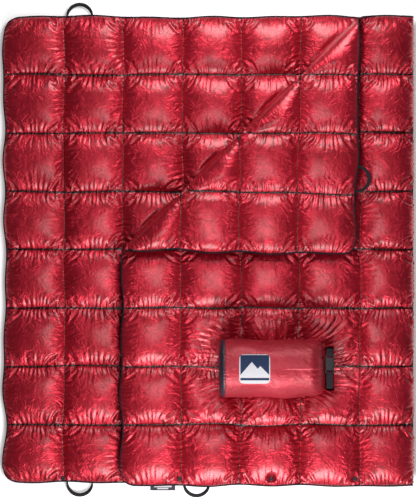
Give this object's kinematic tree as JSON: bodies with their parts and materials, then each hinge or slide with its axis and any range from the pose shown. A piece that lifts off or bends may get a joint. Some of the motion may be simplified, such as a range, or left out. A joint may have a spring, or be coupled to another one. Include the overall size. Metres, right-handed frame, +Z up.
{
  "type": "camp blanket",
  "caption": "Quilted down camp blanket, folded once with a free corner turned back, with webbing loops, snaps and a roll-top stuff sack resting on it.",
  "frame": {"origin": "bottom centre of the folded blanket, on the surface it lies on", "axes": "+X across the folded layers towards the fold, +Y along the fold towards the turned-back corner, +Z up"},
  "size_m": [1.11, 1.338, 0.2002],
  "materials": {
    "shell_fabric": "glossy down-proof nylon, red",
    "lining_fabric": "glossy down-proof nylon, red",
    "down": "loose down clusters",
    "thread": "polyester sewing thread",
    "binding": "woven bias tape, near black",
    "webbing": "flat woven webbing, black",
    "snap": "moulded plastic, black",
    "label": "woven label, navy",
    "sack_fabric": "coated nylon, red",
    "sack_navy": "coated nylon, navy",
    "patch": "printed rubbery patch, navy with a pale border",
    "stiffener": "bendable plastic strip",
    "buckle": "moulded acetal, black"
  },
  "bodies": {
    "lower_panel": {"lower_shell": "shell_fabric", "lower_lining": "lining_fabric", "lower_down": "down", "lower_quilting_thread": "thread", "lower_binding": "binding", "lower_snap_caps": "snap", "lower_snap_sockets": "snap", "side_fold": "shell_fabric"},
    "upper_panel": {"upper_lining": "lining_fabric", "upper_shell": "shell_fabric", "upper_down": "down", "upper_quilting_thread": "thread", "upper_binding": "binding", "upper_snap_caps": "snap", "upper_snap_studs": "snap", "corner_fold": "lining_fabric"},
    "corner_flap": {"flap_shell": "shell_fabric", "flap_lining": "lining_fabric", "flap_down": "down", "flap_quilting_thread": "thread", "flap_binding": "binding"},
    "stuff_sack": {"sack_body": "sack_fabric", "sack_base": "sack_navy", "sack_filling": "down", "sack_patch": "patch", "sack_rolled_mouth": "sack_fabric", "sack_stiffener": "stiffener", "buckle_female_strap": "webbing", "buckle_male_strap": "webbing", "buckle_female": "buckle"},
    "buckle_prongs": {"buckle_male": "buckle"},
    "loop_lower_top": {"lower_top_loop": "webbing"},
    "loop_lower_bottom": {"lower_bottom_loop": "webbing"},
    "loop_upper_bottom": {"upper_bottom_loop": "webbing"},
    "loop_flap": {"flap_loop": "webbing"},
    "label": {"edge_label": "label"}
  },
  "joints": [
    {"name": "upper_panel_fold", "type": "hinge", "parent": "lower_panel", "child": "upper_panel", "pos_m": [0.5544, 0, 0.0363], "axis": [0, 1, 0], "range_deg": [0, 180], "deforming": ["side_fold"]},
    {"name": "corner_flap_fold", "type": "hinge", "parent": "upper_panel", "child": "corner_flap", "pos_m": [0.086, 0.317, 0.0729], "axis": [-0.7137, -0.7004, 0], "range_deg": [0, 180], "deforming": ["corner_fold"]},
    {"name": "sack_lift", "type": "slide", "parent": "upper_panel", "child": "stuff_sack", "axis": [0, 0, 1], "range_m": [0, 0.3]},
    {"name": "buckle_release", "type": "slide", "parent": "stuff_sack", "child": "buckle_prongs", "axis": [0, 1, 0], "range_m": [0, 0.022], "deforming": ["buckle_male_strap"]},
    {"name": "lower_top_loop_lift", "type": "hinge", "parent": "lower_panel", "child": "loop_lower_top", "pos_m": [-0.351, 0.6342, 0.013], "axis": [1, 0, 0], "range_deg": [0, 90]},
    {"name": "lower_bottom_loop_lift", "type": "hinge", "parent": "lower_panel", "child": "loop_lower_bottom", "pos_m": [-0.351, -0.6342, 0.013], "axis": [-1, 0, 0], "range_deg": [0, 90]},
    {"name": "upper_bottom_loop_lift", "type": "hinge", "parent": "upper_panel", "child": "loop_upper_bottom", "pos_m": [-0.033, -0.6342, 0.0496], "axis": [-1, 0, 0], "range_deg": [0, 90]},
    {"name": "flap_loop_lift", "type": "hinge", "parent": "corner_flap", "child": "loop_flap", "pos_m": [0.40091, 0.19207, 0.0862], "axis": [-0.0187, -0.9998, 0], "range_deg": [0, 90]},
    {"name": "label_lift", "type": "hinge", "parent": "upper_panel", "child": "label", "pos_m": [-0.1245, -0.6342, 0.0502], "axis": [-1, 0, 0], "range_deg": [0, 90]}
  ]
}
